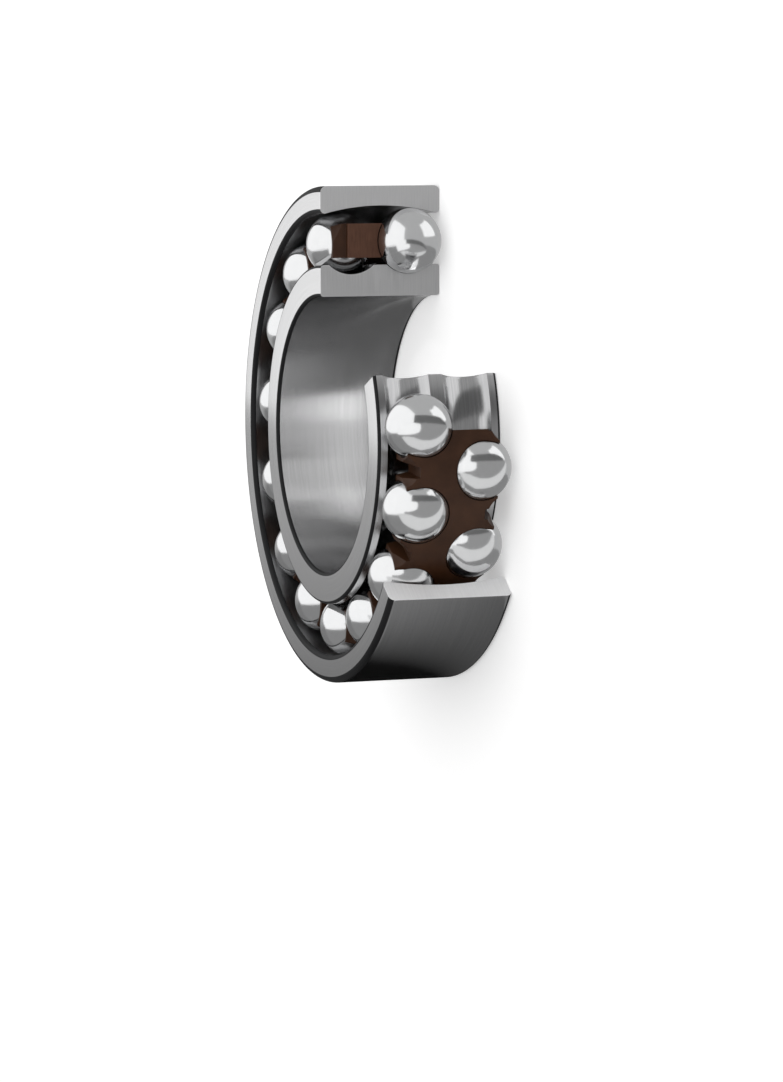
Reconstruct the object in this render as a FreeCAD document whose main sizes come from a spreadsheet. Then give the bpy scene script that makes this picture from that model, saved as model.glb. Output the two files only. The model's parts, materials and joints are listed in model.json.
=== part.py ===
import FreeCAD, Part
import math
import os

import Sketcher

# Self-aligning ball bearing, cut away to show its inside.
# Millimetres and degrees. The bearing lies flat: +Z is its axis and points out of the front face,
# and the origin is the bearing's centre, about which its raceway sphere is struck.
# Clock angles run clockwise from 12 o'clock (+Y) as seen from the front, so +X is 3 o'clock.

doc = FreeCAD.newDocument("BallBearing")

# Driving dimensions
SIZES = {
    "BoreDia": 50.0,  # shaft seat
    "RingWidth": 23.0,  # both rings
    "InnerWall": 4.047,  # from the bore's wall out to the lowest point of each ball
    "BallDia": 11.906,  # 15/32 inch ball
    "BallsPerRow": 15,
    "RowLap": 0.906,  # how far the two rows reach into each other's width
    "RaceClearance": 0.0175,  # between a ball and either raceway
    "OuterWall": 3.6,  # outer ring, thinnest at the middle of its raceway
    "OuterCorner": 1.1,  # round at the outside edges
    "MouthCorner": 0.84,  # round where the spherical raceway meets each side face
    "GrooveEase": 0.238,  # inner groove radius less the ball's
    "ShoulderRise": 5.71,  # from the bore's wall out to the inner ring's lands
    "BoreCorner": 0.6,
    "ShoulderCorner": 0.5,
    "CageRise": 3.2,  # cage outside the pitch circle
    "CageDrop": 3.0,  # cage inside the pitch circle
    "PocketClearance": 0.1,  # between a ball and its pocket
    "ProngRise": 3.1,  # from the ball's centre to the prong's end
    "BevelLength": 1.7,  # the prongs' outside slopes in towards their ends
    "BevelDrop": 0.5,
    "SlotRise": 0.8,  # from the ball's centre to the floor of the slot between two prongs
    "SlotAngle": 12.0,  # each slot wall leans out from the axis
    "ProngWall": 0.3,  # thinnest wall between a slot's floor and the pocket beside it
    "ScoopRise": 4.6,  # from the ball's centre to the middle of the scoop outside a slot
    "ScoopRadius": 3.3,  # scoop at the cage's outside
    "ScoopAngle": 20.0,  # the scoop's wall leans in from a radius
    "OuterCutAngle": 125.7,  # the cut-away runs from 12 o'clock to these clock angles
    "InnerCutAngle": 66.0,
    "CageCutAngle": 85.0,
}

sheet = doc.addObject("Spreadsheet::Sheet", "Sizes")
for row, (alias, number) in enumerate(SIZES.items(), start=1):
    sheet.set("A%d" % row, alias)
    sheet.set("B%d" % row, repr(number))
    sheet.setAlias("B%d" % row, alias)
doc.recompute()

# Sizes that follow from the driving ones, as sheet formulas
BORE_RADIUS = "(Sizes.BoreDia / 2)"
BALL_RADIUS = "(Sizes.BallDia / 2)"
PITCH_RADIUS = "(%s + Sizes.InnerWall + %s)" % (BORE_RADIUS, BALL_RADIUS)
ROW_OFFSET = "((Sizes.BallDia - Sizes.RowLap) / 2)"
CENTRE_REACH = "sqrt(%s ^ 2 + %s ^ 2)" % (PITCH_RADIUS, ROW_OFFSET)
SPHERE_RADIUS = "(%s + %s + Sizes.RaceClearance)" % (CENTRE_REACH, BALL_RADIUS)
OUTER_RADIUS = "(%s + Sizes.OuterWall)" % SPHERE_RADIUS
HALF_WIDTH = "(Sizes.RingWidth / 2)"
GROOVE_RADIUS = "(%s + Sizes.GrooveEase)" % BALL_RADIUS
# A groove's centre lies beyond the ball's centre on the same line from the bearing's centre.
GROOVE_STRETCH = "(1 + (Sizes.GrooveEase - Sizes.RaceClearance) / %s)" % CENTRE_REACH
GROOVE_PITCH = "(%s * %s)" % (PITCH_RADIUS, GROOVE_STRETCH)
GROOVE_OFFSET = "(%s * %s)" % (ROW_OFFSET, GROOVE_STRETCH)
SHOULDER_RADIUS = "(%s + Sizes.ShoulderRise)" % BORE_RADIUS
CAGE_OUTSIDE = "(%s + Sizes.CageRise)" % PITCH_RADIUS
CAGE_INSIDE = "(%s - Sizes.CageDrop)" % PITCH_RADIUS
CAGE_HALF_WIDTH = "(%s + Sizes.ProngRise)" % ROW_OFFSET
POCKET_RADIUS = "(%s + Sizes.PocketClearance)" % BALL_RADIUS
HALF_STEP = "(180 / Sizes.BallsPerRow)"
# Half of the slot is what the ball spacing leaves beside a pocket and its wall.
SLOT_HALF_WIDTH = "(%s * sin(%s) - %s - Sizes.ProngWall)" % (PITCH_RADIUS, HALF_STEP, POCKET_RADIUS)

TOOL_OVERRUN = 1.0  # how far a cutting shape reaches past the material it cuts


def value(formula):
    return float(sheet.evalExpression(formula))


def origin_feature(body, role):
    return next(item for item in body.Origin.OriginFeatures if item.Role == role)


def new_body(label):
    body = doc.addObject("PartDesign::Body", label)
    body.Label = label
    return body


def new_sketch(body, name, plane):
    sketch = body.newObject("Sketcher::SketchObject", name)
    sketch.AttachmentSupport = [(origin_feature(body, plane), "")]
    sketch.MapMode = "FlatFace"
    return sketch


def bind(sketch, constraint, formula):
    index = sketch.addConstraint(constraint)
    sketch.setExpression("Constraints[%d]" % index, formula)


def bind_point(sketch, item, end, formulas, axes):
    kinds = {"x": ("DistanceX", formulas[0]), "y": ("DistanceY", formulas[1])}
    for axis in axes:
        kind, formula = kinds[axis]
        distance = value(formula)
        if abs(distance) < 1e-9:
            line = -2 if axis == "x" else -1
            sketch.addConstraint(Sketcher.Constraint("PointOnObject", item, end, line))
        else:
            bind(sketch, Sketcher.Constraint(kind, -1, 1, item, end, distance), formula)


def draw_outline(sketch, corners, arcs):
    """Closed outline through corners, each (x, y, axes) with the axes that are given for it.

    arcs maps the number of the corner that an arc starts at to (centre x, centre y, radius,
    centre axes, turn). A turn of 1 runs anticlockwise from that corner to the next, -1 clockwise.
    """
    points = [FreeCAD.Vector(value(x), value(y), 0) for x, y, _ in corners]
    ends = []
    for number, start in enumerate(points):
        finish = points[(number + 1) % len(points)]
        if number not in arcs:
            item = sketch.addGeometry(Part.LineSegment(start, finish), False)
            ends.append((item, 1, 2))
            continue
        centre_x, centre_y, radius, centre_axes, turn = arcs[number]
        centre = FreeCAD.Vector(value(centre_x), value(centre_y), 0)
        first, last = (start, finish) if turn > 0 else (finish, start)
        circle = Part.Circle(centre, FreeCAD.Vector(0, 0, 1), value(radius))
        angles = [math.atan2(point.y - centre.y, point.x - centre.x) for point in (first, last)]
        if angles[1] <= angles[0]:
            angles[1] += 2 * math.pi
        item = sketch.addGeometry(Part.ArcOfCircle(circle, *angles), False)
        ends.append((item, 1, 2) if turn > 0 else (item, 2, 1))
    for number, (item, _, finish_end) in enumerate(ends):
        next_item, next_start, _ = ends[(number + 1) % len(ends)]
        sketch.addConstraint(Sketcher.Constraint("Coincident", item, finish_end, next_item, next_start))
    for number, (x, y, axes) in enumerate(corners):
        item, start_end, _ = ends[number]
        bind_point(sketch, item, start_end, (x, y), axes)
    for number, (centre_x, centre_y, radius, centre_axes, _) in arcs.items():
        item = ends[number][0]
        bind_point(sketch, item, 3, (centre_x, centre_y), centre_axes)
        bind(sketch, Sketcher.Constraint("Radius", item, value(radius)), radius)


def turned_ring(body, corners, arcs, angle):
    """Ring turned from its section, from 12 o'clock anticlockwise through an angle."""
    sketch = new_sketch(body, body.Label + "_section", "YZ_Plane")
    draw_outline(sketch, corners, arcs)
    ring = body.newObject("PartDesign::Revolution", body.Label + "_turning")
    ring.Profile = sketch
    ring.ReferenceAxis = (origin_feature(body, "Z_Axis"), [""])
    ring.setExpression("Angle", angle)
    body.Tip = ring


# Outer ring: plain cylinder outside, one spherical raceway inside that carries both rows.
MOUTH_HEIGHT = "(%s - Sizes.MouthCorner)" % HALF_WIDTH
MOUTH_RADIUS = "sqrt(%s ^ 2 - %s ^ 2)" % (SPHERE_RADIUS, MOUTH_HEIGHT)
OUTER_FACE_EDGE = "(%s - Sizes.OuterCorner)" % OUTER_RADIUS
OUTER_SIDE_EDGE = "(%s - Sizes.OuterCorner)" % HALF_WIDTH

outer_ring = new_body("outer_ring")
turned_ring(
    outer_ring,
    [
        (OUTER_FACE_EDGE, HALF_WIDTH, "xy"),
        (MOUTH_RADIUS + " + Sizes.MouthCorner", HALF_WIDTH, "xy"),
        (MOUTH_RADIUS, MOUTH_HEIGHT, "y"),
        (MOUTH_RADIUS, "-" + MOUTH_HEIGHT, "y"),
        (MOUTH_RADIUS + " + Sizes.MouthCorner", "-" + HALF_WIDTH, "xy"),
        (OUTER_FACE_EDGE, "-" + HALF_WIDTH, "xy"),
        (OUTER_RADIUS, "-" + OUTER_SIDE_EDGE, "xy"),
        (OUTER_RADIUS, OUTER_SIDE_EDGE, "xy"),
    ],
    {
        1: (MOUTH_RADIUS + " + Sizes.MouthCorner", MOUTH_HEIGHT, "Sizes.MouthCorner", "", 1),
        2: ("0", "0", SPHERE_RADIUS, "xy", -1),
        3: (MOUTH_RADIUS + " + Sizes.MouthCorner", "-" + MOUTH_HEIGHT, "Sizes.MouthCorner", "", 1),
        5: (OUTER_FACE_EDGE, "-" + OUTER_SIDE_EDGE, "Sizes.OuterCorner", "", 1),
        7: (OUTER_FACE_EDGE, OUTER_SIDE_EDGE, "Sizes.OuterCorner", "", 1),
    },
    "360 - Sizes.OuterCutAngle",
)

# Inner ring: a sleeve with a cylindrical bore, then two deep grooves cut round its outside.
BORE_FACE_EDGE = "(%s + Sizes.BoreCorner)" % BORE_RADIUS
BORE_SIDE_EDGE = "(%s - Sizes.BoreCorner)" % HALF_WIDTH
SHOULDER_FACE_EDGE = "(%s - Sizes.ShoulderCorner)" % SHOULDER_RADIUS
SHOULDER_SIDE_EDGE = "(%s - Sizes.ShoulderCorner)" % HALF_WIDTH

inner_ring = new_body("inner_ring")
turned_ring(
    inner_ring,
    [
        (BORE_RADIUS, BORE_SIDE_EDGE, "xy"),
        (BORE_RADIUS, "-" + BORE_SIDE_EDGE, "xy"),
        (BORE_FACE_EDGE, "-" + HALF_WIDTH, "xy"),
        (SHOULDER_FACE_EDGE, "-" + HALF_WIDTH, "xy"),
        (SHOULDER_RADIUS, "-" + SHOULDER_SIDE_EDGE, "xy"),
        (SHOULDER_RADIUS, SHOULDER_SIDE_EDGE, "xy"),
        (SHOULDER_FACE_EDGE, HALF_WIDTH, "xy"),
        (BORE_FACE_EDGE, HALF_WIDTH, "xy"),
    ],
    {
        1: (BORE_FACE_EDGE, "-" + BORE_SIDE_EDGE, "Sizes.BoreCorner", "", 1),
        3: (SHOULDER_FACE_EDGE, "-" + SHOULDER_SIDE_EDGE, "Sizes.ShoulderCorner", "", 1),
        5: (SHOULDER_FACE_EDGE, SHOULDER_SIDE_EDGE, "Sizes.ShoulderCorner", "", 1),
        7: (BORE_FACE_EDGE, BORE_SIDE_EDGE, "Sizes.BoreCorner", "", 1),
    },
    "360 - Sizes.InnerCutAngle",
)


def turned_groove(body, name, side):
    """Raceway of one row, a circle's section turned round the bearing's axis."""
    sketch = new_sketch(body, name + "_section", "YZ_Plane")
    height = "%d * %s" % (side, GROOVE_OFFSET)
    bottom = "%s - %s" % (height, GROOVE_RADIUS)
    top = "%s + %s" % (height, GROOVE_RADIUS)
    draw_outline(
        sketch,
        [(GROOVE_PITCH, bottom, "x"), (GROOVE_PITCH, top, "x")],
        {0: (GROOVE_PITCH, height, GROOVE_RADIUS, "xy", -1)},
    )
    groove = body.newObject("PartDesign::Groove", name)
    groove.Profile = sketch
    groove.ReferenceAxis = (origin_feature(body, "Z_Axis"), [""])
    groove.Angle = 360
    body.Tip = groove


def check_cut(body, volumes, what):
    """Each cut must take material away, or it points the wrong way."""
    doc.recompute()
    left = body.Shape.Volume
    if not 0 < left < volumes[-1]:
        raise ValueError("%s cut nothing" % what)
    volumes.append(left)


doc.recompute()
ring_volumes = [inner_ring.Shape.Volume]
for row_name, side in (("rear", -1), ("front", 1)):
    turned_groove(inner_ring, row_name + "_groove", side)
    check_cut(inner_ring, ring_volumes, row_name + " groove")


# Cage: one moulded ring with a row of snap pockets open to each face. The rows stand half a
# step apart, so each pocket's back wall lies between two pockets of the other row. Past the
# ball's widest circle a slot parts the wall between neighbours into two springy prongs.
def place_radially(sketch, reach, height, clock_angle):
    """Stand a sketch upright across a radius: its x runs clockwise and its y along the axis."""
    sketch.AttachmentOffset = FreeCAD.Placement(
        FreeCAD.Vector(), FreeCAD.Rotation(FreeCAD.Vector(0, 1, 0), -value(clock_angle))
    )
    sketch.setExpression("AttachmentOffset.Base.x", "%s * sin(%s)" % (reach, clock_angle))
    sketch.setExpression("AttachmentOffset.Base.y", height)
    sketch.setExpression("AttachmentOffset.Base.z", "-%s * cos(%s)" % (reach, clock_angle))


def revolved_cut(body, name, sketch, axis):
    cut = body.newObject("PartDesign::Groove", name)
    cut.Profile = sketch
    cut.ReferenceAxis = (sketch, [axis])
    cut.Angle = 360
    body.Tip = cut
    return cut


def ball_pocket(body, name, side, clock_angle):
    """Spherical pocket, turned about a line through the ball's centre along the axis."""
    sketch = new_sketch(body, name + "_section", "XZ_Plane")
    place_radially(sketch, PITCH_RADIUS, "%d * %s" % (side, ROW_OFFSET), clock_angle)
    draw_outline(
        sketch,
        [("0", "-" + POCKET_RADIUS, "x"), ("0", POCKET_RADIUS, "x")],
        {0: ("0", "0", POCKET_RADIUS, "xy", 1)},
    )
    return revolved_cut(body, name, sketch, "V_Axis")


def prong_slot(body, name, side, clock_angle):
    """Slot between two prongs, cut from outside right through the cage's wall."""
    sketch = new_sketch(body, name + "_section", "XZ_Plane")
    place_radially(sketch, "(%s + %g)" % (CAGE_OUTSIDE, TOOL_OVERRUN), "0", clock_angle)
    floor = "%d * (%s + Sizes.SlotRise)" % (side, ROW_OFFSET)
    roof = "%d * (%s + %g)" % (side, CAGE_HALF_WIDTH, TOOL_OVERRUN)
    spread = "(Sizes.ProngRise + %g - Sizes.SlotRise) * tan(Sizes.SlotAngle)" % TOOL_OVERRUN
    roof_half_width = "(%s + %s)" % (SLOT_HALF_WIDTH, spread)
    draw_outline(
        sketch,
        [
            ("-" + SLOT_HALF_WIDTH, floor, "xy"),
            (SLOT_HALF_WIDTH, floor, "xy"),
            (roof_half_width, roof, "xy"),
            ("-" + roof_half_width, roof, "xy"),
        ],
        {},
    )
    cut = body.newObject("PartDesign::Pocket", name)
    cut.Profile = sketch
    cut.Reversed = True
    cut.setExpression("Length", "Sizes.CageRise + Sizes.CageDrop + %g" % (2 * TOOL_OVERRUN))
    body.Tip = cut
    return cut


def prong_scoop(body, name, side, clock_angle):
    """Tapered scoop outside a slot, turned about a radius, that thins the prongs to claws."""
    sketch = new_sketch(body, name + "_section", "XY_Plane")
    sketch.AttachmentOffset = FreeCAD.Placement(
        FreeCAD.Vector(), FreeCAD.Rotation(FreeCAD.Vector(0, 0, 1), -value(clock_angle))
    )
    sketch.setExpression("AttachmentOffset.Base.z", "%d * (%s + Sizes.ScoopRise)" % (side, ROW_OFFSET))
    wide_end = "(%s + %g)" % (CAGE_OUTSIDE, TOOL_OVERRUN)
    wide_radius = "(Sizes.ScoopRadius + %g * tan(Sizes.ScoopAngle))" % TOOL_OVERRUN
    tip = "(%s - Sizes.ScoopRadius / tan(Sizes.ScoopAngle))" % CAGE_OUTSIDE
    draw_outline(sketch, [("0", tip, "xy"), (wide_radius, wide_end, "xy"), ("0", wide_end, "xy")], {})
    return revolved_cut(body, name, sketch, "V_Axis")


def repeat_round(body, name, cuts):
    """The same cuts once for each ball of a row."""
    pattern = body.newObject("PartDesign::PolarPattern", name)
    pattern.Originals = cuts
    pattern.Axis = (origin_feature(body, "Z_Axis"), [""])
    pattern.Angle = 360
    pattern.setExpression("Occurrences", "Sizes.BallsPerRow")
    body.Tip = pattern


def cut_sector(body, angle):
    """Take a sector out of the cage, from 12 o'clock clockwise through an angle."""
    inside = "(%s - %g)" % (CAGE_INSIDE, TOOL_OVERRUN)
    outside = "(%s + %g)" % (CAGE_OUTSIDE, TOOL_OVERRUN)
    end = "(%s + %g)" % (CAGE_HALF_WIDTH, TOOL_OVERRUN)
    sketch = new_sketch(body, body.Label + "_cut_section", "YZ_Plane")
    draw_outline(
        sketch,
        [(inside, "-" + end, "xy"), (outside, "-" + end, "xy"), (outside, end, "xy"), (inside, end, "xy")],
        {},
    )
    cut = body.newObject("PartDesign::Groove", body.Label + "_cut_away")
    cut.Profile = sketch
    cut.ReferenceAxis = (origin_feature(body, "Z_Axis"), [""])
    cut.Reversed = True
    cut.setExpression("Angle", angle)
    body.Tip = cut


# Rear balls stand at whole steps from 12 o'clock, front balls half a step later.
ROWS = {
    "rear": {"side": -1, "pocket_at": "0", "slot_at": HALF_STEP},
    "front": {"side": 1, "pocket_at": HALF_STEP, "slot_at": "0"},
}

BEVEL_START = "(%s - Sizes.BevelLength)" % CAGE_HALF_WIDTH
PRONG_END_OUTSIDE = "(%s - Sizes.BevelDrop)" % CAGE_OUTSIDE

cage = new_body("cage")
turned_ring(
    cage,
    [
        (CAGE_INSIDE, "-" + CAGE_HALF_WIDTH, "xy"),
        (PRONG_END_OUTSIDE, "-" + CAGE_HALF_WIDTH, "xy"),
        (CAGE_OUTSIDE, "-" + BEVEL_START, "xy"),
        (CAGE_OUTSIDE, BEVEL_START, "xy"),
        (PRONG_END_OUTSIDE, CAGE_HALF_WIDTH, "xy"),
        (CAGE_INSIDE, CAGE_HALF_WIDTH, "xy"),
    ],
    {},
    "360",
)
doc.recompute()
cage_volumes = [cage.Shape.Volume]
for row_name, row_place in ROWS.items():
    pocket = ball_pocket(cage, row_name + "_pocket", row_place["side"], row_place["pocket_at"])
    check_cut(cage, cage_volumes, row_name + " pocket")
    slot = prong_slot(cage, row_name + "_slot", row_place["side"], row_place["slot_at"])
    check_cut(cage, cage_volumes, row_name + " slot")
    scoop = prong_scoop(cage, row_name + "_scoop", row_place["side"], row_place["slot_at"])
    check_cut(cage, cage_volumes, row_name + " scoop")
    repeat_round(cage, row_name + "_row", [pocket, slot, scoop])
    check_cut(cage, cage_volumes, row_name + " row")
cut_sector(cage, "Sizes.CageCutAngle")
check_cut(cage, cage_volumes, "cut-away")


# Balls: plain polished spheres. Those beside the cut-away are left whole, so the last rear ball
# stands half clear of the rings' cut faces at 12 o'clock. A ball stays where its centre is no
# more than half of HALF_STEP before the cage's cut.
def add_ball(label, side, clock_angle):
    ball = doc.addObject("Part::Sphere", label)
    ball.Label = label
    ball.setExpression("Radius", BALL_RADIUS)
    ball.setExpression("Placement.Base.x", "%s * sin(%s)" % (PITCH_RADIUS, clock_angle))
    ball.setExpression("Placement.Base.y", "%s * cos(%s)" % (PITCH_RADIUS, clock_angle))
    ball.setExpression("Placement.Base.z", "%d * %s" % (side, ROW_OFFSET))
    return ball


balls = []
kept_from = value("Sizes.CageCutAngle - %s / 2" % HALF_STEP)
for row_name, row_place in ROWS.items():
    ball_number = 0
    for step in range(1, int(value("Sizes.BallsPerRow")) + 1):
        half_steps = 2 * step if row_name == "rear" else 2 * step - 1
        clock_angle = "%d * %s" % (half_steps, HALF_STEP)
        if value(clock_angle) >= kept_from:
            ball_number += 1
            label = "ball_%s_%02d" % (row_name, ball_number)
            balls.append(add_ball(label, row_place["side"], clock_angle))

doc.recompute()

for item in doc.Objects:
    if "Invalid" in item.State or "Error" in item.State:
        raise ValueError("%s failed: %s" % (item.Name, item.State))

pieces = [outer_ring, inner_ring, cage] + balls
for piece in pieces:
    shape = piece.Shape
    if shape.isNull() or not shape.isValid() or len(shape.Solids) != 1:
        raise ValueError("%s is not one sound solid" % piece.Label)

os.makedirs("parts", exist_ok=True)
for piece in pieces:
    piece.Shape.exportStep("parts/%s.step" % piece.Label)
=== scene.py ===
import json
import math

import bmesh
import bpy
from mathutils import Matrix, Vector


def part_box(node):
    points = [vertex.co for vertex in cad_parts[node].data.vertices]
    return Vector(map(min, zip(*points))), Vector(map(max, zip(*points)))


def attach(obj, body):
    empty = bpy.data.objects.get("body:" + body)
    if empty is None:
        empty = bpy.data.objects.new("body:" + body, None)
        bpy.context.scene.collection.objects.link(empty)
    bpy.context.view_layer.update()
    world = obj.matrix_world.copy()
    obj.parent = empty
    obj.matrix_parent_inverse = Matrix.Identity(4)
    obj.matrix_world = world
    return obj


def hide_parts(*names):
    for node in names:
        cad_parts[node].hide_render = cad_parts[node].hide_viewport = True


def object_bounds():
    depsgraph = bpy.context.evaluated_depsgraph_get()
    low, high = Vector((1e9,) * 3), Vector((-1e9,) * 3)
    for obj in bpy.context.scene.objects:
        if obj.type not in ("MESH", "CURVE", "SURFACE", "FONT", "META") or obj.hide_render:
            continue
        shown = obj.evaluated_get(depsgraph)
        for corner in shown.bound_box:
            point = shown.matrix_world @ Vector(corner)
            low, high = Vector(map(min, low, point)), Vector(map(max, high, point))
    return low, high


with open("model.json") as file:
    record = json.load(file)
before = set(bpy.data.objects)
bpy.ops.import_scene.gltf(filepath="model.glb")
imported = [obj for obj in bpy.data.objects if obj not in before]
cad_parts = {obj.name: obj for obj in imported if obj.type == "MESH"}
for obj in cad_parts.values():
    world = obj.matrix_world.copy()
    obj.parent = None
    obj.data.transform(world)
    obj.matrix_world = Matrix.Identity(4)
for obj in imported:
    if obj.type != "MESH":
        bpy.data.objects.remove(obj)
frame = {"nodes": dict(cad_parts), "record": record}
cad_low, cad_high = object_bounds()

# Outer ring: hardened steel, turned and ground, with one polished spherical raceway for both
# rows. It is cut through from 12 o'clock clockwise, and the cut faces are milled and brushed.
mounts = {mount["name"]: mount for mount in frame["record"]["mounts"]}
OUTER_RADIUS = mounts["outer_seat"]["dims"]["r_mm"] / 1000
HALF_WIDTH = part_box("outer_ring")[1].z
ball_low, ball_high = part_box("ball_front_01")
ball_centre = (ball_low + ball_high) / 2
BALL_RADIUS = (ball_high.z - ball_low.z) / 2
PITCH_RADIUS = math.hypot(ball_centre.x, ball_centre.y)
ROW_OFFSET = ball_centre.z
CENTRE_REACH = math.hypot(PITCH_RADIUS, ROW_OFFSET)
RACE_CLEARANCE = 0.0000175  # between a ball and either raceway
SPHERE_RADIUS = CENTRE_REACH + BALL_RADIUS + RACE_CLEARANCE
OUTER_CORNER = 0.0011
MOUTH_CORNER = 0.00084
OUTER_CUT = 125.7
CUT_BREAK = 0.00009  # the cut faces' edges are broken by hand
FLAT_FACE = 0.999  # a side face's normal points along the axis by more than this
RAISED_FACE = 0.5  # and a lower cut face's normal points up by more than this
SHARP_EDGE = math.radians(35)
WELD = 1e-7
SIDE, OUTSIDE, RACE, CORNER, CUT, LOWER_CUT, BORE = range(7)  # a ring's finishes


def line_to(mesh, pen, radius, height):
    """Draw a section's straight edge from the pen to a radius and height at 12 o'clock."""
    corner = bmesh.ops.extrude_vert_indiv(mesh, verts=[pen])["verts"][0]
    corner.co = (0, radius, height)
    return corner


def arc_about(mesh, pen, radius, height, degrees, steps):
    """Draw a section's arc from the pen round a centre, positive from +Y towards +Z."""
    turned = bmesh.ops.spin(
        mesh,
        geom=[pen],
        cent=(0, radius, height),
        axis=(1, 0, 0),
        angle=math.radians(degrees),
        steps=steps,
    )
    return next(item for item in turned["geom_last"] if isinstance(item, bmesh.types.BMVert))


def turn_ring(mesh, cut_angle, corner, race_low, race_high):
    """Turn the drawn section from 12 o'clock anticlockwise, mark its finishes, break the cuts."""
    bmesh.ops.remove_doubles(mesh, verts=mesh.verts, dist=WELD)
    section = bmesh.ops.contextual_create(mesh, geom=mesh.edges[:])["faces"]
    bmesh.ops.spin(
        mesh,
        geom=section + mesh.edges[:] + mesh.verts[:],
        cent=(0, 0, 0),
        axis=(0, 0, 1),
        angle=math.radians(360 - cut_angle),
        steps=round(360 - cut_angle),
    )
    bmesh.ops.recalc_face_normals(mesh, faces=mesh.faces)
    cuts = [face for face in mesh.faces if len(face.verts) > 4]
    for face in mesh.faces:
        middle = face.calc_center_median()
        if face in cuts:
            face.material_index = LOWER_CUT if face.normal.y > RAISED_FACE else CUT
        elif abs(face.normal.z) > FLAT_FACE:
            face.material_index = SIDE
        elif abs(middle.z) > HALF_WIDTH - corner:
            face.material_index = CORNER
        elif middle.xy.length > race_high:
            face.material_index = OUTSIDE
        else:
            face.material_index = RACE if middle.xy.length > race_low else BORE
    bmesh.ops.bevel(
        mesh,
        geom=[edge for face in cuts for edge in face.edges],
        offset=CUT_BREAK,
        affect="EDGES",
        segments=2,
        profile=0.5,
        material=-1,
    )


def finish_piece(name, mesh, body, node, materials):
    """Shade a mesh smooth up to its sharp edges and put it in its CAD node's place."""
    for face in mesh.faces:
        face.smooth = True
    for edge in mesh.edges:
        edge.smooth = len(edge.link_faces) == 2 and edge.calc_face_angle() < SHARP_EDGE
    data = bpy.data.meshes.new(name)
    mesh.to_mesh(data)
    mesh.free()
    for material in materials:
        data.materials.append(material)
    piece = bpy.data.objects.new(name, data)
    bpy.context.collection.objects.link(piece)
    flatten = piece.modifiers.new("flat_faces", "WEIGHTED_NORMAL")
    flatten.keep_sharp = True
    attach(piece, body)
    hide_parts(node)


def new_finish(name, colour, metallic, roughness):
    """Start a finish: its shader, and the object coordinates that its marks follow."""
    finish = bpy.data.materials.new(name)
    finish.use_nodes = True
    shader = finish.node_tree.nodes["Principled BSDF"]
    shader.inputs["Base Color"].default_value = (*colour, 1)
    shader.inputs["Metallic"].default_value = metallic
    shader.inputs["Roughness"].default_value = roughness
    coordinates = finish.node_tree.nodes.new("ShaderNodeTexCoord").outputs["Object"]
    return finish, shader, coordinates


def around_axis(finish, coordinates, per_turn, per_metre):
    """Lay a pattern in lines round the bearing's axis, so fine and broken so often a turn."""
    nodes, links = finish.node_tree.nodes, finish.node_tree.links
    flat, reach, heading = (nodes.new("ShaderNodeVectorMath") for _ in range(3))
    flat.operation, reach.operation, heading.operation = "MULTIPLY", "LENGTH", "NORMALIZE"
    flat.inputs[1].default_value = (1, 1, 0)
    links.new(coordinates, flat.inputs[0])
    links.new(flat.outputs["Vector"], reach.inputs[0])
    links.new(flat.outputs["Vector"], heading.inputs[0])
    split = nodes.new("ShaderNodeSeparateXYZ")
    links.new(coordinates, split.inputs[0])
    line = nodes.new("ShaderNodeMath")
    line.operation = "ADD"
    links.new(reach.outputs["Value"], line.inputs[0])
    links.new(split.outputs["Z"], line.inputs[1])
    across = nodes.new("ShaderNodeCombineXYZ")
    links.new(line.outputs[0], across.inputs["Z"])
    fine, joined = (nodes.new("ShaderNodeVectorMath") for _ in range(2))
    fine.operation, joined.operation = "SCALE", "MULTIPLY_ADD"
    fine.inputs["Scale"].default_value = per_metre
    joined.inputs[1].default_value = (per_turn, per_turn, 0)
    links.new(across.outputs[0], fine.inputs[0])
    links.new(heading.outputs["Vector"], joined.inputs[0])
    links.new(fine.outputs["Vector"], joined.inputs[2])
    return joined.outputs["Vector"]


def scaled(finish, coordinates, across, along):
    """Object coordinates with so many marks a metre across the axis and along it."""
    scale = finish.node_tree.nodes.new("ShaderNodeVectorMath")
    scale.operation = "MULTIPLY"
    scale.inputs[1].default_value = (across, across, along)
    finish.node_tree.links.new(coordinates, scale.inputs[0])
    return scale.outputs["Vector"]


def marks(finish, vector, detail, low=0, high=1):
    """Noise along a vector, spread between a low and a high value."""
    nodes, links = finish.node_tree.nodes, finish.node_tree.links
    noise = nodes.new("ShaderNodeTexNoise")
    noise.inputs["Scale"].default_value = 1
    noise.inputs["Detail"].default_value = detail
    links.new(vector, noise.inputs["Vector"])
    spread = nodes.new("ShaderNodeMapRange")
    spread.inputs["From Min"].default_value = 0.3
    spread.inputs["From Max"].default_value = 0.7
    spread.inputs["To Min"].default_value = low
    spread.inputs["To Max"].default_value = high
    links.new(noise.outputs["Fac"], spread.inputs["Value"])
    return spread.outputs["Result"]


def tint(finish, shader, amount, dark, light):
    """Vary a finish's colour between two colours by an amount."""
    nodes, links = finish.node_tree.nodes, finish.node_tree.links
    mix = nodes.new("ShaderNodeMix")
    mix.data_type = "RGBA"
    mix.inputs["A"].default_value = (*dark, 1)
    mix.inputs["B"].default_value = (*light, 1)
    links.new(amount, mix.inputs["Factor"])
    links.new(mix.outputs["Result"], shader.inputs["Base Color"])


def relief(finish, shader, height, depth):
    """Raise a finish's surface by a height pattern, its depth in metres."""
    nodes, links = finish.node_tree.nodes, finish.node_tree.links
    bump = nodes.new("ShaderNodeBump")
    bump.inputs["Strength"].default_value = 1
    bump.inputs["Distance"].default_value = depth
    links.new(height, bump.inputs["Height"])
    links.new(bump.outputs[0], shader.inputs["Normal"])


def grey(level):
    """The colour of bare steel, a touch cooler than neutral."""
    return level, level, level + 0.005


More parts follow.
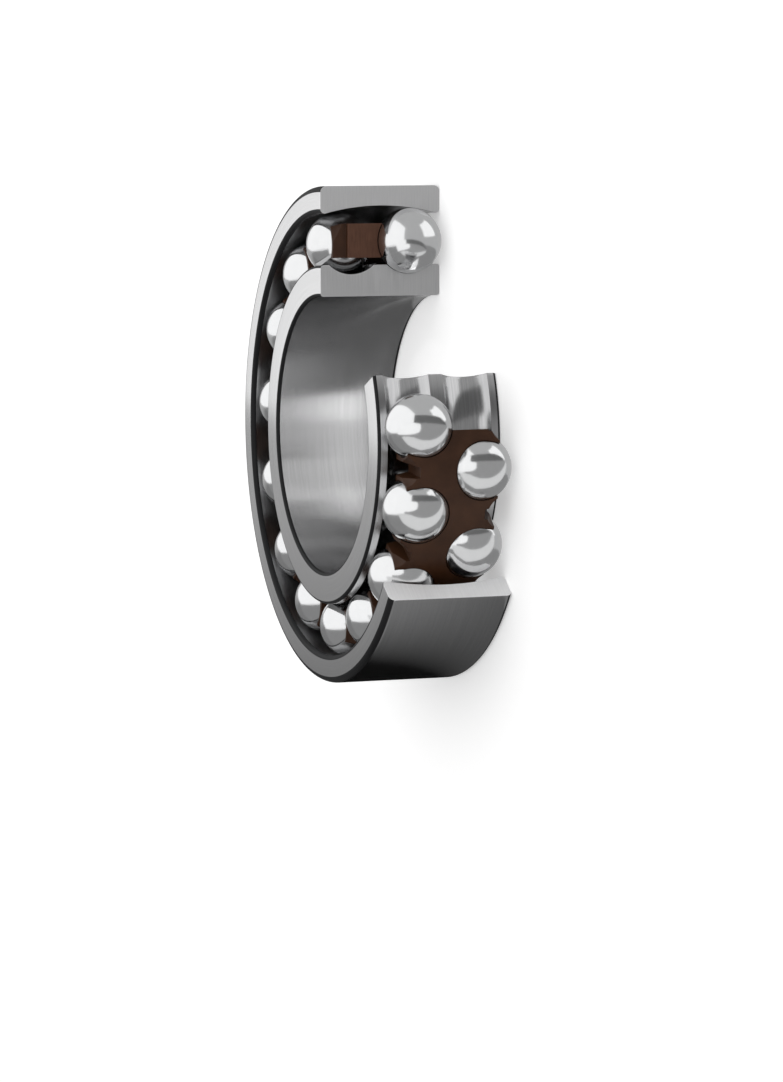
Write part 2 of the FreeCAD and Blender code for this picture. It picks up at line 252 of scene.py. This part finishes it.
SIDE_STEEL = grey(0.66), grey(0.72)
ROUND_STEEL = grey(0.50), grey(0.58)
# The raceway steel is its own polished grey, darkened partly as painted shade that keeps the
# recess between the rings dark.
RACE_STEEL_AND_SHADE = grey(0.42), grey(0.48)
CUT_STEEL = grey(0.80), grey(0.87)
OUTSIDE_STEEL = grey(0.53), grey(0.57)
# The lower cut face gets a lighter copy of the cut steel: painted light.
LIT_LOWER_CUT_STEEL = grey(0.88), grey(0.95)
CORNER_STEEL = (0.008, 0.008, 0.009), (0.018, 0.018, 0.019)  # left black from hardening
FINE_LINES, BROAD_LINES = 4200, 700  # per metre
FINE_BREAKS, BROAD_BREAKS = 2, 1.2  # per turn
STROKES_ACROSS, STROKES_ALONG = 160, 5200  # per metre
STROKE_DEPTH = 8e-7


def turned_steel(name, tones, roughness, sheen, depth, metallic=1, specular=0.5):
    """Steel worked as it turns, with fine lines round the axis; sheen draws its glints out."""
    dark, light = tones
    finish, shader, coordinates = new_finish(name, light, metallic, roughness)
    shader.inputs["Specular IOR Level"].default_value = specular
    shader.inputs["Anisotropic"].default_value = sheen
    shader.inputs["Anisotropic Rotation"].default_value = 0.25
    nodes, links = finish.node_tree.nodes, finish.node_tree.links
    turning = nodes.new("ShaderNodeTangent")
    turning.direction_type = "RADIAL"
    turning.axis = "Z"
    links.new(turning.outputs[0], shader.inputs["Tangent"])
    lines = around_axis(finish, coordinates, FINE_BREAKS, FINE_LINES)
    tint(finish, shader, marks(finish, lines, 3), dark, light)
    broad = around_axis(finish, coordinates, BROAD_BREAKS, BROAD_LINES)
    worn = marks(finish, broad, 2, roughness * 0.95, roughness * 1.06)
    links.new(worn, shader.inputs["Roughness"])
    relief(finish, shader, marks(finish, lines, 5), depth)
    return finish


def brushed_cut(name, tones, roughness=0.5, metallic=1):
    """Cut face, brushed from the bore outwards."""
    dark, light = tones
    finish, shader, coordinates = new_finish(name, light, metallic, roughness)
    strokes = scaled(finish, coordinates, STROKES_ACROSS, STROKES_ALONG)
    tint(finish, shader, marks(finish, strokes, 4), dark, light)
    worn = marks(finish, strokes, 2, roughness * 0.9, roughness * 1.1)
    finish.node_tree.links.new(worn, shader.inputs["Roughness"])
    relief(finish, shader, marks(finish, strokes, 5), STROKE_DEPTH)
    return finish


def black_corner(name):
    """Corner that the grinding leaves as it came from hardening."""
    return turned_steel(
        name, CORNER_STEEL, roughness=0.5, sheen=0, depth=1e-6, metallic=0, specular=0.15
    )


outer_finishes = [
    turned_steel("outer_ring_side", SIDE_STEEL, roughness=0.17, sheen=0, depth=3e-7),
    turned_steel("outer_ring_outside", OUTSIDE_STEEL, roughness=0.2, sheen=0.4, depth=6e-8),
    turned_steel("outer_ring_raceway", RACE_STEEL_AND_SHADE, roughness=0.3, sheen=0.2, depth=1e-7),
    black_corner("outer_ring_corner"),
    brushed_cut("outer_ring_cut", CUT_STEEL),
    # A lighter, less metallic copy of the cut finish paints light on the lower cut face.
    brushed_cut("outer_ring_lower_cut_lit", LIT_LOWER_CUT_STEEL, metallic=0.35),
]
mouth_height = HALF_WIDTH - MOUTH_CORNER
mouth_radius = math.sqrt(SPHERE_RADIUS**2 - mouth_height**2)
mouth_angle = math.degrees(math.asin(mouth_height / SPHERE_RADIUS))
mouth_turn = mouth_radius + MOUTH_CORNER
edge_turn = OUTER_RADIUS - OUTER_CORNER
edge_height = HALF_WIDTH - OUTER_CORNER
race_edge = mouth_radius - MOUTH_CORNER
outside_edge = SPHERE_RADIUS + MOUTH_CORNER
RACE_STEPS, MOUTH_STEPS, EDGE_STEPS = 32, 8, 10

section = bmesh.new()
start = section.verts.new((0, mouth_radius, -mouth_height))
pen = arc_about(section, start, 0, 0, 2 * mouth_angle, RACE_STEPS)
pen = arc_about(section, pen, mouth_turn, mouth_height, -90, MOUTH_STEPS)
pen = line_to(section, pen, edge_turn, HALF_WIDTH)
pen = arc_about(section, pen, edge_turn, edge_height, -90, EDGE_STEPS)
pen = line_to(section, pen, OUTER_RADIUS, -edge_height)
pen = arc_about(section, pen, edge_turn, -edge_height, -90, EDGE_STEPS)
pen = line_to(section, pen, mouth_turn, -HALF_WIDTH)
pen = arc_about(section, pen, mouth_turn, -mouth_height, -90, MOUTH_STEPS)
turn_ring(section, OUTER_CUT, MOUTH_CORNER, race_edge, outside_edge)
finish_piece("outer_ring_steel", section, "outer_ring", "outer_ring", outer_finishes)

# Inner ring: hardened steel, ground all over, with a cylindrical bore and two deep polished
# grooves between three lands. It is cut back less far than the outer ring.
BORE_RADIUS = mounts["bore"]["dims"]["r_mm"] / 1000
SHOULDER_RISE = 0.00571  # from the bore to the lands
BORE_CORNER = 0.0006
SHOULDER_CORNER = 0.0005
GROOVE_EASE = 0.000238  # the grooves are rounder than the balls by this
INNER_CUT = 66.0
# The grooves take that raceway steel's lighter tone, and with it part of its painted shade.
GROOVE_STEEL = RACE_STEEL_AND_SHADE[1], ROUND_STEEL[1]
BORE_STEEL = grey(0.60), grey(0.66)
INNER_CUT_STEEL = grey(0.71), grey(0.78)
shoulder_radius = BORE_RADIUS + SHOULDER_RISE
groove_radius = BALL_RADIUS + GROOVE_EASE
groove_stretch = 1 + (GROOVE_EASE - RACE_CLEARANCE) / CENTRE_REACH
groove_pitch = PITCH_RADIUS * groove_stretch
groove_height = ROW_OFFSET * groove_stretch
groove_reach = math.sqrt(groove_radius**2 - (groove_pitch - shoulder_radius) ** 2)
groove_angle = 2 * math.degrees(math.asin(groove_reach / groove_radius))

bore_turn = BORE_RADIUS + BORE_CORNER
bore_height = HALF_WIDTH - BORE_CORNER
shoulder_turn = shoulder_radius - SHOULDER_CORNER
shoulder_height = HALF_WIDTH - SHOULDER_CORNER
land_edge = shoulder_radius - 0.00005  # the grooves' faces lie below it
CORNER_STEPS, GROOVE_STEPS = 6, 24

inner_finishes = [
    turned_steel("inner_ring_side", SIDE_STEEL, roughness=0.17, sheen=0, depth=3e-7),
    turned_steel("inner_ring_lands", ROUND_STEEL, roughness=0.28, sheen=0.1, depth=8e-8),
    turned_steel("inner_ring_raceway", GROOVE_STEEL, roughness=0.17, sheen=0.3, depth=1e-7),
    black_corner("inner_ring_corner"),
    brushed_cut("inner_ring_cut", INNER_CUT_STEEL),
    brushed_cut("inner_ring_lower_cut", CUT_STEEL),
    turned_steel("inner_ring_bore", BORE_STEEL, roughness=0.24, sheen=0.9, depth=2e-8),
]
section = bmesh.new()
start = section.verts.new((0, BORE_RADIUS, bore_height))
pen = line_to(section, start, BORE_RADIUS, -bore_height)
pen = arc_about(section, pen, bore_turn, -bore_height, 90, CORNER_STEPS)
pen = line_to(section, pen, shoulder_turn, -HALF_WIDTH)
pen = arc_about(section, pen, shoulder_turn, -shoulder_height, 90, CORNER_STEPS)
pen = line_to(section, pen, shoulder_radius, -groove_height - groove_reach)
pen = arc_about(section, pen, groove_pitch, -groove_height, -groove_angle, GROOVE_STEPS)
pen = line_to(section, pen, shoulder_radius, groove_height - groove_reach)
pen = arc_about(section, pen, groove_pitch, groove_height, -groove_angle, GROOVE_STEPS)
pen = line_to(section, pen, shoulder_radius, shoulder_height)
pen = arc_about(section, pen, shoulder_turn, shoulder_height, 90, CORNER_STEPS)
pen = line_to(section, pen, bore_turn, HALF_WIDTH)
pen = arc_about(section, pen, bore_turn, bore_height, 90, CORNER_STEPS)
turn_ring(section, INNER_CUT, BORE_CORNER, bore_turn, land_edge)
finish_piece("inner_ring_steel", section, "inner_ring", "inner_ring", inner_finishes)

# Cage: one ring moulded in dark brown plastic, whose spherical pockets snap over the balls.
# The mould leaves a fine even grain, and the cut end shows the filled plastic itself.
CAGE_DARK = (0.036, 0.013, 0.0045)
CAGE_LIGHT = (0.055, 0.021, 0.008)
CAGE_CUT_DARK = (0.075, 0.031, 0.017)
CAGE_CUT_LIGHT = (0.105, 0.046, 0.026)
EDGE_ROUND = 0.00018  # as the mould rounds its edges
CLOUDS, GRAINS = 260, 5200  # per metre
GRAIN_DEPTH = 6e-6
SAW_ACROSS, SAW_ALONG = 400, 3000  # per metre
SAW_DEPTH = 4e-6
CAGE_WELD = 1e-6

cage_moulded, shader, coordinates = new_finish(
    "cage_moulded", CAGE_LIGHT, metallic=0, roughness=0.42
)
shader.inputs["Specular IOR Level"].default_value = 0.22
nodes, links = cage_moulded.node_tree.nodes, cage_moulded.node_tree.links
cloud = scaled(cage_moulded, coordinates, CLOUDS, CLOUDS)
tint(cage_moulded, shader, marks(cage_moulded, cloud, 3), CAGE_DARK, CAGE_LIGHT)
grain = scaled(cage_moulded, coordinates, GRAINS, GRAINS)
links.new(marks(cage_moulded, grain, 2, low=0.36, high=0.5), shader.inputs["Roughness"])
relief(cage_moulded, shader, marks(cage_moulded, grain, 2), GRAIN_DEPTH)
rounded = nodes.new("ShaderNodeBevel")
rounded.samples = 4
rounded.inputs["Radius"].default_value = EDGE_ROUND
links.new(rounded.outputs[0], nodes["Bump"].inputs["Normal"])

cage_cut, shader, coordinates = new_finish(
    "cage_cut", CAGE_CUT_LIGHT, metallic=0, roughness=0.5
)
shader.inputs["Specular IOR Level"].default_value = 0.2
strokes = scaled(cage_cut, coordinates, SAW_ACROSS, SAW_ALONG)
tint(cage_cut, shader, marks(cage_cut, strokes, 3), CAGE_CUT_DARK, CAGE_CUT_LIGHT)
relief(cage_cut, shader, marks(cage_cut, strokes, 3), SAW_DEPTH)

cage_mesh = bmesh.new()
cage_mesh.from_mesh(frame["nodes"]["cage"].data)
bmesh.ops.remove_doubles(cage_mesh, verts=cage_mesh.verts, dist=CAGE_WELD)
for face in cage_mesh.faces:
    sawn = all(abs(corner.co.x) < CAGE_WELD and corner.co.y > 0 for corner in face.verts)
    face.material_index = int(sawn)
finish_piece("cage_plastic", cage_mesh, "cage", "cage", [cage_moulded, cage_cut])

# Balls: through-hardened steel, ground and lapped to a mirror. They lie loose in the cage's
# pockets and roll between the grooves and the spherical raceway.
BALL_DARK, BALL_LIGHT = (0.78, 0.785, 0.79), (0.8, 0.805, 0.81)
HAZE = 900  # per metre
BALL_SUBDIVISIONS = 5

lapped, shader, coordinates = new_finish(
    "ball_polished", BALL_LIGHT, metallic=1, roughness=0.15
)
haze = scaled(lapped, coordinates, HAZE, HAZE)
worn = marks(lapped, haze, 4, low=0.13, high=0.17)
lapped.node_tree.links.new(worn, shader.inputs["Roughness"])
tint(lapped, shader, marks(lapped, haze, 2), BALL_DARK, BALL_LIGHT)

for node in frame["nodes"]:
    if not node.startswith("ball_"):
        continue
    low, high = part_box(node)
    ball = bmesh.new()
    bmesh.ops.create_icosphere(ball, subdivisions=BALL_SUBDIVISIONS, radius=BALL_RADIUS)
    bmesh.ops.translate(ball, verts=ball.verts, vec=(low + high) / 2)
    finish_piece(node + "_lapped", ball, node, node, [lapped])

# Camera: the photograph's viewing angle, with 12 o'clock up in the picture. Its lens and place
# were fitted to the rings' edges.
PHOTO_HEIGHT, FOCAL_LENGTH = 1082, 4341.77  # pixels
CAMERA_SWING = math.radians(19.898)
CAMERA_RISE = math.radians(4.41)
CAMERA_DISTANCE = 0.79158
AIM_RIGHT, AIM_DOWN = 0.00198, 0.01964
CAMERA_ROLL = math.radians(-0.067)

swung = Vector((math.cos(CAMERA_SWING), 0, math.sin(CAMERA_SWING)))
towards = swung * math.cos(CAMERA_RISE) + Vector((0, math.sin(CAMERA_RISE), 0))
right = Vector((0, 1, 0)).cross(towards).normalized()
up = towards.cross(right)
place = towards * CAMERA_DISTANCE
back = (place - right * AIM_RIGHT + up * AIM_DOWN).normalized()
side = up.cross(back).normalized()
camera_data = bpy.data.cameras.new("camera")
camera_data.lens = camera_data.sensor_width * FOCAL_LENGTH / PHOTO_HEIGHT
camera = bpy.data.objects.new("camera", camera_data)
turned = Matrix((side, back.cross(side), back)).transposed() @ Matrix.Rotation(CAMERA_ROLL, 3, "Z")
camera.matrix_world = Matrix.Translation(place) @ turned.to_4x4()
bpy.context.collection.objects.link(camera)
bpy.context.scene.camera = camera
bpy.context.scene.view_settings.view_transform = "Standard"

# Stage: white paper under the back face, an even pale world and one soft lamp. The studio that
# the photograph's steel mirrors stands around it as glowing cards that only reflections show;
# they are painted reflections.
FLOOR_SIZE = 8.0
PAPER_WHITE = (0.9, 0.9, 0.9)
PAPER_GLOW = 0.4
WORLD_LIGHT = 0.48
LAMP_PLACE = (-0.5, 0.395, 0.5)
LAMP_WIDTH, LAMP_HEIGHT = 2.4, 1.05
LAMP_POWER = 5.1

floor_mesh = bmesh.new()
bmesh.ops.create_grid(floor_mesh, x_segments=1, y_segments=1, size=FLOOR_SIZE / 2)
bmesh.ops.translate(floor_mesh, verts=floor_mesh.verts, vec=(0, 0, cad_low.z))
floor_data = bpy.data.meshes.new("floor")
floor_mesh.to_mesh(floor_data)
floor_mesh.free()
floor = bpy.data.objects.new("floor", floor_data)
bpy.context.collection.objects.link(floor)
# The paper is kept out of reflections, so that the cards paint what the steel mirrors below it.
floor.visible_glossy = False
paper, shader, coordinates = new_finish("floor_paper", PAPER_WHITE, metallic=0, roughness=0.9)
shader.inputs["Emission Color"].default_value = (1, 1, 1, 1)
shader.inputs["Emission Strength"].default_value = PAPER_GLOW
floor_data.materials.append(paper)

world = bpy.data.worlds.new("tent")
world.use_nodes = True
sky = world.node_tree.nodes["Background"]
sky.inputs["Color"].default_value = (1, 1, 1, 1)
sky.inputs["Strength"].default_value = WORLD_LIGHT
bpy.context.scene.world = world

light = bpy.data.lights.new("soft_lamp", "AREA")
light.shape = "RECTANGLE"
light.size = LAMP_WIDTH
light.size_y = LAMP_HEIGHT
light.energy = LAMP_POWER
lamp = bpy.data.objects.new("soft_lamp", light)
lamp.location = LAMP_PLACE
lamp.visible_camera = False
bpy.context.collection.objects.link(lamp)

MIRROR = Vector((0.0348, 0.0037, 0.0055))  # the ball that the cards are set out from
CARD_LEVEL = cad_low.z + 0.00005  # just above the paper


def card(name, glow, panels):
    """Set up a card of flat panels, all of one grey, that only reflections show: a painted
    reflection.
    """
    card_mesh = bmesh.new()
    for corners in panels:
        card_mesh.faces.new([card_mesh.verts.new(corner) for corner in corners])
    data = bpy.data.meshes.new(name)
    card_mesh.to_mesh(data)
    card_mesh.free()
    made = bpy.data.objects.new(name, data)
    bpy.context.collection.objects.link(made)
    made.visible_camera = False
    made.visible_diffuse = False
    made.visible_shadow = False
    finish, shader, coordinates = new_finish(name, (0, 0, 0), metallic=0, roughness=1)
    shader.inputs["Specular IOR Level"].default_value = 0
    shader.inputs["Emission Color"].default_value = (1, 1, 1, 1)
    shader.inputs["Emission Strength"].default_value = glow
    data.materials.append(finish)
    return finish, shader, coordinates


def faded(made, course, dark, light, dark_at, light_at):
    """Fade a card from dark to light along a course, between two places on it."""
    finish, shader, coordinates = made
    nodes, links = finish.node_tree.nodes, finish.node_tree.links
    along = nodes.new("ShaderNodeVectorMath")
    along.operation = "DOT_PRODUCT"
    along.inputs[1].default_value = course
    links.new(coordinates, along.inputs[0])
    fade = nodes.new("ShaderNodeMapRange")
    for socket, value in zip(fade.inputs[1:5], (dark_at, light_at, dark, light)):
        socket.default_value = value
    links.new(along.outputs["Value"], fade.inputs["Value"])
    links.new(fade.outputs["Result"], shader.inputs["Emission Strength"])


def seen(reach, outline):
    """Give panels at a reach from MIRROR, from an upper to a lower rise at each heading."""
    corners = []
    for heading, *rises in outline:
        heading = math.radians(heading)
        flat = towards * math.cos(heading) + right * math.sin(heading)
        rays = [flat * math.cos(rise) + up * math.sin(rise) for rise in map(math.radians, rises)]
        corners.append([MIRROR + reach * ray for ray in rays])
    return [(*before, *reversed(after)) for before, after in zip(corners, corners[1:])]


# Painted reflections set out round MIRROR: light and dark glowing panels that only the steel's
# reflections show.
PAINTED_REFLECTIONS = (  # name, glow, reach in metres, then heading, upper rise and lower rise in degrees
    ("flag_card", 0.15, 0.055, (
        (-17, 40, 11), (0, 40, 12), (20, 40, 12), (40, 37, 11), (60, 33, 10), (80, 25, 8),
        (92, 16, 6), (102, 7, 5),
    )),
    ("window_card", 1.15, 0.6, (
        (58, 53, 14), (72, 54, 13), (86, 54, 13), (100, 54, 13), (112, 53, 14),
    )),
    ("extra_card", 1.1, 0.054, (
        (-75, 20, -18), (-55, 38, -21), (-30, 40, -22), (-18, 40, -21), (-17, 15, -21),
        (-6, 14, -18), (2, 13, -14), (6, 8, -6),
    )),
    ("middle_card", 0.34, 0.056, (
        (-40, -21, -27), (-18, -20, -31), (-5, -17, -36), (5, -12, -39), (7, 17, -39),
        (30, 17, -41), (45, 16, -38), (60, 14, -33), (80, 11, -20), (95, 8, -7), (105, 4, -1),
    )),
    ("crescent_card", 0.76, 0.055, (
        (-62, -26, -30), (-55, -26, -52), (-40, -27, -65), (-18, -31, -73), (0, -38, -77),
        (20, -41, -78), (40, -39, -76), (60, -33, -69), (80, -20, -57), (95, -7, -38),
        (104, -1, -18), (108, 2, -4),
    )),
    ("under_card", 0.27, 0.7, [(turn, -12, -90) for turn in range(-180, 181, 30)]),
)
for name, glow, reach, outline in PAINTED_REFLECTIONS:
    card(name, glow, seen(reach, outline))

# Painted reflections in the bore: dark and glowing patches on the paper inside it paint the bore's
# dark and bright bands.
BORE_PAINTED_REFLECTIONS = (  # name, glow, then the outline on the floor
    ("bore_card", 0.12, (
        (-0.013, 0.0212), (-0.021, 0.0134), (-0.0249, 0), (-0.021, -0.0134), (-0.013, -0.0212),
        (0, -0.0249), (0.015, -0.0198), (0.015, -0.0178), (-0.013, -0.0012),
    )),
    ("glow_card", 1.85, (
        (-0.013, -0.0008), (-0.013, -0.0012), (0.008, -0.0137), (0.012, -0.009), (0.013, -0.0045),
    )),
    ("middle_glow_card", 1.0, ((-0.013, -0.0008), (0.013, -0.0045), (0.013, 0.0046))),
    ("band_card", 1.1, ((-0.013, -0.0008), (0.013, 0.0046), (0.013, 0.0128))),
    ("far_glow_card", 0.92, (
        (-0.013, -0.0008), (0.013, 0.0128), (0.0125, 0.0175), (0, 0.016),
    )),
    ("edge_glow_card", 1.45, (
        (-0.013, -0.0008), (0, 0.016), (-0.006, 0.017), (-0.0155, 0.0112), (-0.0175, 0.004),
    )),
)
for name, glow, outline in BORE_PAINTED_REFLECTIONS:
    card(name, glow, [[(*corner, CARD_LEVEL) for corner in outline]])

# Painted shade in reflections: a dark card on the paper by the outer ring's rim, with a wall,
# paints the outside dark, fading to grey along its course; a wall at the side paints the side
# faces darker towards the bottom.
rim_outline = ((-0.15, -0.2), (0.06, -0.2), (0.06, -0.12), (0.0375, -0.03), (-0.05, -0.028))
rim_floor = [(*corner, CARD_LEVEL) for corner in rim_outline]
rim_wall = (rim_floor[0], (-0.15, -0.2, 0.08), (0.06, -0.2, 0.08), rim_floor[1])
rim_card = card("rim_card", 0, (rim_floor, rim_wall))
faded(rim_card, (1, -0.35, 0), dark=0.004, light=0.28, dark_at=0.016, light_at=0.075)
side_wall = ((-0.17, -0.6, 0), (-0.17, 0.014, 0), (-0.17, -0.061, 0.2), (-0.17, -0.6, 0.2))
side_card = card("side_card", 0, (side_wall,))
faded(side_card, (0, 1, 0), dark=0.22, light=0.42, dark_at=-0.07, light_at=-0.03)
